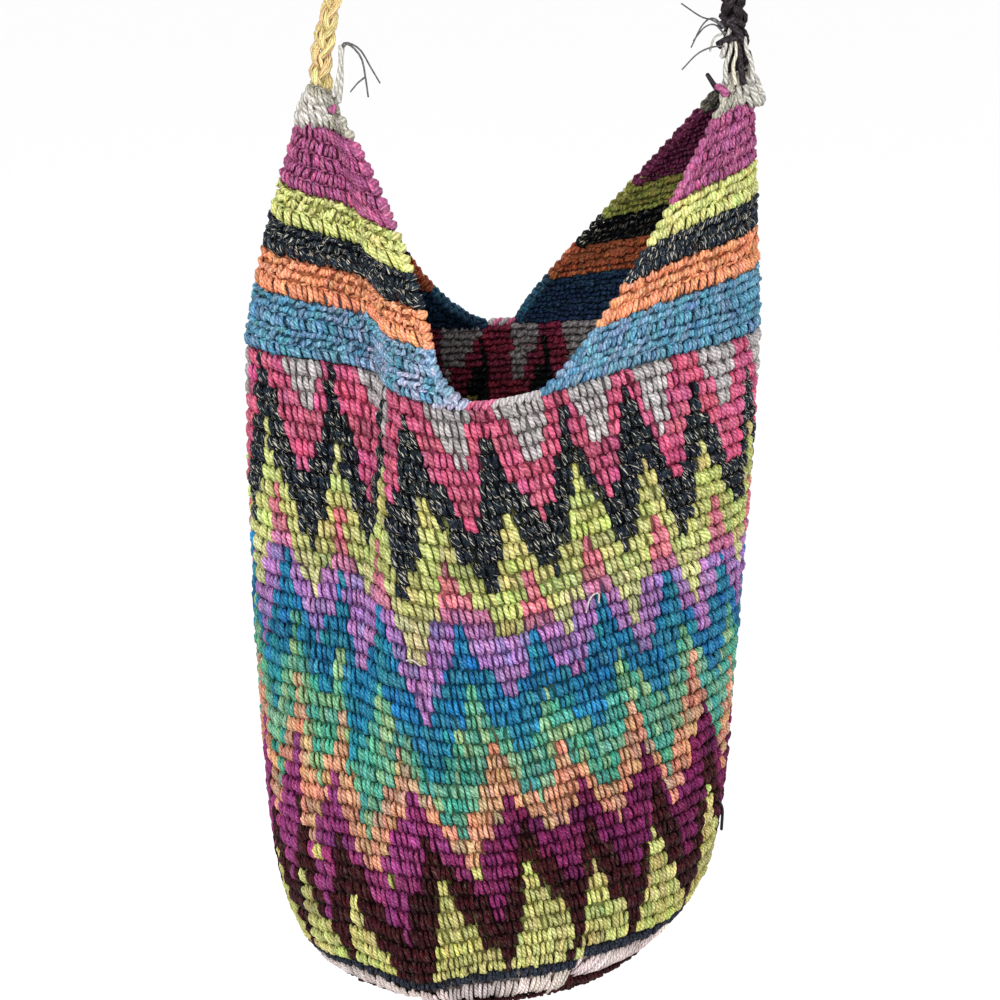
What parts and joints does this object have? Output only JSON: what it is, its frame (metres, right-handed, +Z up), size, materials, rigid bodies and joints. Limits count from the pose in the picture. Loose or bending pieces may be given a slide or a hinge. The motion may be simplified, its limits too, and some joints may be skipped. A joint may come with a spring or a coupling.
{
  "type": "crochet crossbody bag",
  "caption": "Soft round-bottomed crochet bag with zigzag bands, a striped tab on either side of its open mouth, and a long braided shoulder strap lashed to the tips of the tabs.",
  "frame": {"origin": "under the top of the strap's loop, where it hangs on a peg, hand or shoulder", "axes": "+Z up along the hanging bag, +X to the right as seen from the front, the front of the bag towards -Y"},
  "size_m": [0.2416, 0.162, 0.8298],
  "materials": {
    "base_crochet": "dark maroon crochet in wool and cotton yarn, matt",
    "body_crochet": "many-coloured tapestry crochet in zigzag bands, matt yarn with a faint sheen",
    "tab_crochet": "crochet in flat stripes of blue, orange, dark tweed, lime, magenta and grey, matt",
    "strap_braid": "braid of thick yarn, golden at one end and dark brown at the other, matt",
    "lashing_yarn": "grey yarn wound round and knotted, matt"
  },
  "bodies": {
    "root": {"base": "base_crochet", "body": "body_crochet", "tab_left": "tab_crochet", "tab_right": "tab_crochet", "strap": "strap_braid", "lashing_left": "lashing_yarn", "lashing_right": "lashing_yarn"}
  },
  "joints": []
}
